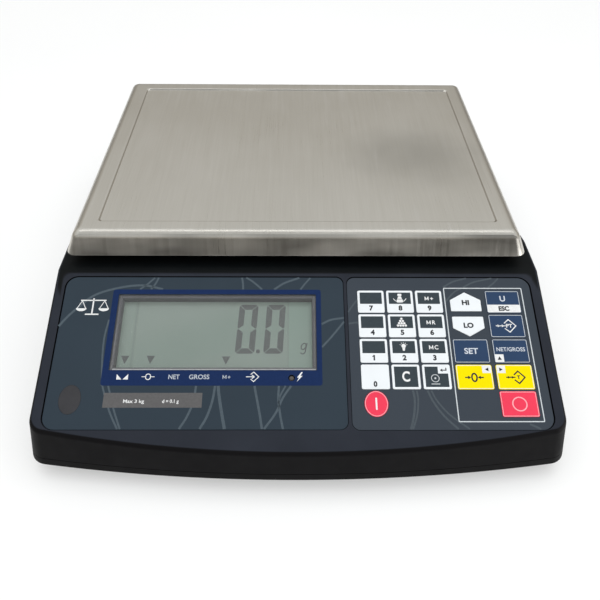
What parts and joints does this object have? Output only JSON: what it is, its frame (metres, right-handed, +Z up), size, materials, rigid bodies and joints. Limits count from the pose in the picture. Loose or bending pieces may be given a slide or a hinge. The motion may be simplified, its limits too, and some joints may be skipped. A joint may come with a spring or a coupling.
{
  "type": "counting scale",
  "caption": "Bench counting scale: sloped console with LCD and membrane keypad, lift-off stainless platter on a load cell, battery bay and levelling feet.",
  "frame": {"origin": "centre of the footprint, on the surface the feet stand on", "axes": "+X to the operator's right, +Y away from the operator, +Z up"},
  "size_m": [0.317, 0.3601, 0.0937],
  "materials": {
    "abs_anthracite": "textured",
    "abs_black": "textured",
    "stainless": "brushed",
    "cast_aluminium": "cast",
    "bar_aluminium": "machined",
    "rubber": "matte",
    "label": "satin",
    "key_dark": "satin",
    "key_white": "satin",
    "key_navy": "satin",
    "key_yellow": "satin",
    "key_red": "satin",
    "window": "clear",
    "level_window": "tinted",
    "lcd": "satin",
    "board": "lacquered",
    "led": "clear",
    "vial": "clear",
    "zinc": "zinc plated",
    "battery": "smooth"
  },
  "bodies": {
    "base": {"upper_housing": "abs_anthracite", "lower_housing": "abs_black", "display_label": "label", "keypad_label": "label", "lcd_window": "window", "level_window": "level_window", "lcd_module": "lcd", "display_board": "board", "charge_led": "led", "keypad_board": "board", "main_board": "board", "level_vial": "vial", "battery": "battery", "dc_inlet": "abs_black", "serial_port": "zinc", "load_cell": "bar_aluminium", "case_screw_1": "zinc", "case_screw_2": "zinc", "case_screw_3": "zinc", "case_screw_4": "zinc"},
    "pan": {"pan_support": "cast_aluminium", "cushion_1": "rubber", "cushion_2": "rubber", "cushion_3": "rubber", "cushion_4": "rubber"},
    "platter": {"weighing_platter": "stainless"},
    "battery_door": {"battery_door": "abs_black"},
    "foot_pad_1": {"foot_pad_1": "rubber"},
    "foot_stud_1": {"foot_stud_1": "zinc"},
    "foot_pad_2": {"foot_pad_2": "rubber"},
    "foot_stud_2": {"foot_stud_2": "zinc"},
    "foot_pad_3": {"foot_pad_3": "rubber"},
    "foot_stud_3": {"foot_stud_3": "zinc"},
    "foot_pad_4": {"foot_pad_4": "rubber"},
    "foot_stud_4": {"foot_stud_4": "zinc"},
    "key_0": {"key_0": "key_white"},
    "key_1": {"key_1": "key_dark"},
    "key_2": {"key_2": "key_dark"},
    "key_3": {"key_3": "key_dark"},
    "key_4": {"key_4": "key_dark"},
    "key_5": {"key_5": "key_dark"},
    "key_6": {"key_6": "key_dark"},
    "key_7": {"key_7": "key_dark"},
    "key_8": {"key_8": "key_dark"},
    "key_9": {"key_9": "key_dark"},
    "key_clear": {"key_clear": "key_dark"},
    "key_print": {"key_print": "key_dark"},
    "key_hi": {"key_hi": "key_white"},
    "key_lo": {"key_lo": "key_white"},
    "key_unit_esc": {"key_unit_esc": "key_navy"},
    "key_preset_tare": {"key_preset_tare": "key_navy"},
    "key_set": {"key_set": "key_navy"},
    "key_net_gross": {"key_net_gross": "key_navy"},
    "key_zero": {"key_zero": "key_yellow"},
    "key_tare": {"key_tare": "key_yellow"},
    "key_off": {"key_off": "key_red"},
    "key_on": {"key_on": "key_red"}
  },
  "joints": [
    {"name": "load_travel", "type": "slide", "parent": "base", "child": "pan", "axis": [0, 0, 1], "range_m": [-0.0005, 0], "stiffness_N_per_m": 60000, "springref_m": 0.00015, "deforming": ["load_cell"]},
    {"name": "platter_lift", "type": "slide", "parent": "pan", "child": "platter", "axis": [0, 0, 1], "range_m": [0, 0.06]},
    {"name": "battery_door_hinge", "type": "hinge", "parent": "base", "child": "battery_door", "pos_m": [0, 0.1665, 0.0121], "axis": [1, 0, 0], "range_deg": [0, 95]},
    {"name": "foot_height_1", "type": "slide", "parent": "base", "child": "foot_pad_1", "axis": [0, 0, 1], "range_m": [-0.003, 0.003]},
    {"name": "foot_screw_1", "type": "hinge", "parent": "foot_pad_1", "child": "foot_stud_1", "pos_m": [-0.122, -0.128, 0.01], "axis": [0, 0, 1], "range_deg": [-1085, 1085]},
    {"name": "foot_height_2", "type": "slide", "parent": "base", "child": "foot_pad_2", "axis": [0, 0, 1], "range_m": [-0.003, 0.003]},
    {"name": "foot_screw_2", "type": "hinge", "parent": "foot_pad_2", "child": "foot_stud_2", "pos_m": [0.122, -0.128, 0.01], "axis": [0, 0, 1], "range_deg": [-1085, 1085]},
    {"name": "foot_height_3", "type": "slide", "parent": "base", "child": "foot_pad_3", "axis": [0, 0, 1], "range_m": [-0.003, 0.003]},
    {"name": "foot_screw_3", "type": "hinge", "parent": "foot_pad_3", "child": "foot_stud_3", "pos_m": [-0.122, 0.145, 0.01], "axis": [0, 0, 1], "range_deg": [-1085, 1085]},
    {"name": "foot_height_4", "type": "slide", "parent": "base", "child": "foot_pad_4", "axis": [0, 0, 1], "range_m": [-0.003, 0.003]},
    {"name": "foot_screw_4", "type": "hinge", "parent": "foot_pad_4", "child": "foot_stud_4", "pos_m": [0.122, 0.145, 0.01], "axis": [0, 0, 1], "range_deg": [-1085, 1085]},
    {"name": "key_0_press", "type": "slide", "parent": "base", "child": "key_0", "axis": [0, -0.342, 0.9397], "range_m": [-0.0004, 0], "stiffness_N_per_m": 2000},
    {"name": "key_1_press", "type": "slide", "parent": "base", "child": "key_1", "axis": [0, -0.342, 0.9397], "range_m": [-0.0004, 0], "stiffness_N_per_m": 2000},
    {"name": "key_2_press", "type": "slide", "parent": "base", "child": "key_2", "axis": [0, -0.342, 0.9397], "range_m": [-0.0004, 0], "stiffness_N_per_m": 2000},
    {"name": "key_3_press", "type": "slide", "parent": "base", "child": "key_3", "axis": [0, -0.342, 0.9397], "range_m": [-0.0004, 0], "stiffness_N_per_m": 2000},
    {"name": "key_4_press", "type": "slide", "parent": "base", "child": "key_4", "axis": [0, -0.342, 0.9397], "range_m": [-0.0004, 0], "stiffness_N_per_m": 2000},
    {"name": "key_5_press", "type": "slide", "parent": "base", "child": "key_5", "axis": [0, -0.342, 0.9397], "range_m": [-0.0004, 0], "stiffness_N_per_m": 2000},
    {"name": "key_6_press", "type": "slide", "parent": "base", "child": "key_6", "axis": [0, -0.342, 0.9397], "range_m": [-0.0004, 0], "stiffness_N_per_m": 2000},
    {"name": "key_7_press", "type": "slide", "parent": "base", "child": "key_7", "axis": [0, -0.342, 0.9397], "range_m": [-0.0004, 0], "stiffness_N_per_m": 2000},
    {"name": "key_8_press", "type": "slide", "parent": "base", "child": "key_8", "axis": [0, -0.342, 0.9397], "range_m": [-0.0004, 0], "stiffness_N_per_m": 2000},
    {"name": "key_9_press", "type": "slide", "parent": "base", "child": "key_9", "axis": [0, -0.342, 0.9397], "range_m": [-0.0004, 0], "stiffness_N_per_m": 2000},
    {"name": "key_clear_press", "type": "slide", "parent": "base", "child": "key_clear", "axis": [0, -0.342, 0.9397], "range_m": [-0.0004, 0], "stiffness_N_per_m": 2000},
    {"name": "key_print_press", "type": "slide", "parent": "base", "child": "key_print", "axis": [0, -0.342, 0.9397], "range_m": [-0.0004, 0], "stiffness_N_per_m": 2000},
    {"name": "key_hi_press", "type": "slide", "parent": "base", "child": "key_hi", "axis": [0, -0.342, 0.9397], "range_m": [-0.0004, 0], "stiffness_N_per_m": 2000},
    {"name": "key_lo_press", "type": "slide", "parent": "base", "child": "key_lo", "axis": [0, -0.342, 0.9397], "range_m": [-0.0004, 0], "stiffness_N_per_m": 2000},
    {"name": "key_unit_esc_press", "type": "slide", "parent": "base", "child": "key_unit_esc", "axis": [0, -0.342, 0.9397], "range_m": [-0.0004, 0], "stiffness_N_per_m": 2000},
    {"name": "key_preset_tare_press", "type": "slide", "parent": "base", "child": "key_preset_tare", "axis": [0, -0.342, 0.9397], "range_m": [-0.0004, 0], "stiffness_N_per_m": 2000},
    {"name": "key_set_press", "type": "slide", "parent": "base", "child": "key_set", "axis": [0, -0.342, 0.9397], "range_m": [-0.0004, 0], "stiffness_N_per_m": 2000},
    {"name": "key_net_gross_press", "type": "slide", "parent": "base", "child": "key_net_gross", "axis": [0, -0.342, 0.9397], "range_m": [-0.0004, 0], "stiffness_N_per_m": 2000},
    {"name": "key_zero_press", "type": "slide", "parent": "base", "child": "key_zero", "axis": [0, -0.342, 0.9397], "range_m": [-0.0004, 0], "stiffness_N_per_m": 2000},
    {"name": "key_tare_press", "type": "slide", "parent": "base", "child": "key_tare", "axis": [0, -0.342, 0.9397], "range_m": [-0.0004, 0], "stiffness_N_per_m": 2000},
    {"name": "key_off_press", "type": "slide", "parent": "base", "child": "key_off", "axis": [0, -0.342, 0.9397], "range_m": [-0.0004, 0], "stiffness_N_per_m": 2000},
    {"name": "key_on_press", "type": "slide", "parent": "base", "child": "key_on", "axis": [0, -0.342, 0.9397], "range_m": [-0.0004, 0], "stiffness_N_per_m": 2000}
  ],
  "couplings": [
    {"joint": "foot_screw_1", "follows": "foot_height_1", "rad_per_m": 6283.2},
    {"joint": "foot_screw_2", "follows": "foot_height_2", "rad_per_m": 6283.2},
    {"joint": "foot_screw_3", "follows": "foot_height_3", "rad_per_m": 6283.2},
    {"joint": "foot_screw_4", "follows": "foot_height_4", "rad_per_m": 6283.2}
  ]
}
